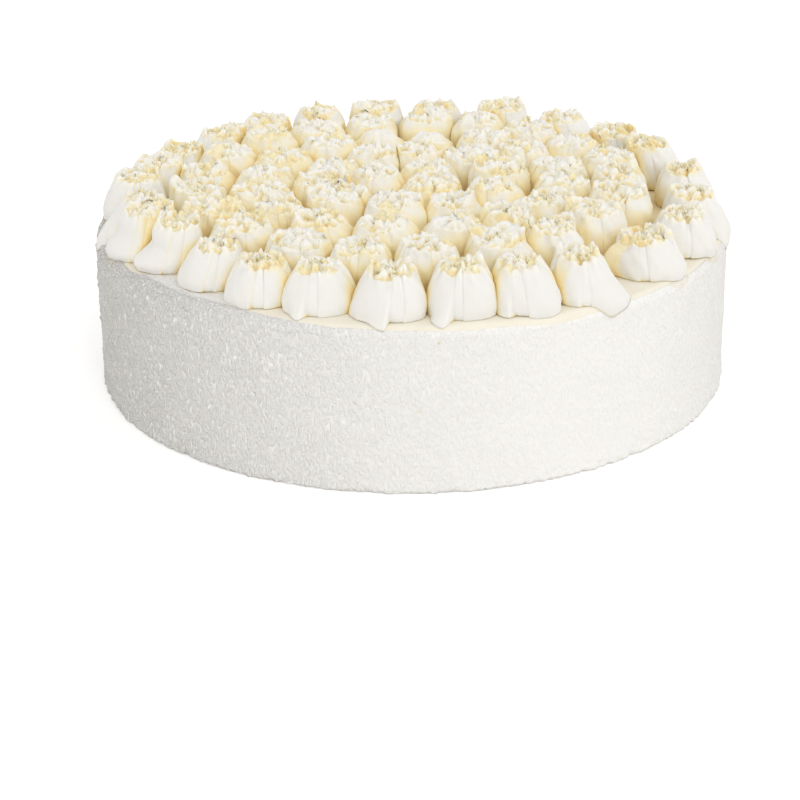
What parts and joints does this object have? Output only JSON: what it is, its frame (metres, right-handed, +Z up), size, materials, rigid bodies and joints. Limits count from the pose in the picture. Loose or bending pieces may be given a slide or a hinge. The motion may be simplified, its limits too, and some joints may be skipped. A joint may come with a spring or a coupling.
{
  "type": "white chocolate cake",
  "caption": "Round uncut cake with a flat foot, rough white cream sides and a top covered with piped cream dollops that have torn crowns.",
  "frame": {"origin": "centre of the flat foot, on the surface that the cake stands on", "axes": "+Z up through the middle of the cake, -Y towards the side that the picture shows, +X to that side's right"},
  "size_m": [0.253, 0.253, 0.0824],
  "materials": {
    "cream_coat": "matt scraped white cream, rough to the touch",
    "piped_cream": "satin piped cream, ivory in the hollows"
  },
  "bodies": {
    "root": {"cake_body": "cream_coat", "dollop_outer_01": "piped_cream", "dollop_outer_02": "piped_cream", "dollop_outer_03": "piped_cream", "dollop_outer_04": "piped_cream", "dollop_outer_05": "piped_cream", "dollop_outer_06": "piped_cream", "dollop_outer_07": "piped_cream", "dollop_outer_08": "piped_cream", "dollop_outer_09": "piped_cream", "dollop_outer_10": "piped_cream", "dollop_outer_11": "piped_cream", "dollop_outer_12": "piped_cream", "dollop_outer_13": "piped_cream", "dollop_outer_14": "piped_cream", "dollop_outer_15": "piped_cream", "dollop_outer_16": "piped_cream", "dollop_outer_17": "piped_cream", "dollop_outer_18": "piped_cream", "dollop_outer_19": "piped_cream", "dollop_outer_20": "piped_cream", "dollop_outer_21": "piped_cream", "dollop_outer_22": "piped_cream", "dollop_outer_23": "piped_cream", "dollop_outer_24": "piped_cream", "dollop_outer_25": "piped_cream", "dollop_outer_26": "piped_cream", "dollop_second_01": "piped_cream", "dollop_second_02": "piped_cream", "dollop_second_03": "piped_cream", "dollop_second_04": "piped_cream", "dollop_second_05": "piped_cream", "dollop_second_06": "piped_cream", "dollop_second_07": "piped_cream", "dollop_second_08": "piped_cream", "dollop_second_09": "piped_cream", "dollop_second_10": "piped_cream", "dollop_second_11": "piped_cream", "dollop_second_12": "piped_cream", "dollop_second_13": "piped_cream", "dollop_second_14": "piped_cream", "dollop_second_15": "piped_cream", "dollop_second_16": "piped_cream", "dollop_second_17": "piped_cream", "dollop_second_18": "piped_cream", "dollop_second_19": "piped_cream", "dollop_second_20": "piped_cream", "dollop_second_21": "piped_cream", "dollops_inner": "piped_cream"}
  },
  "joints": []
}
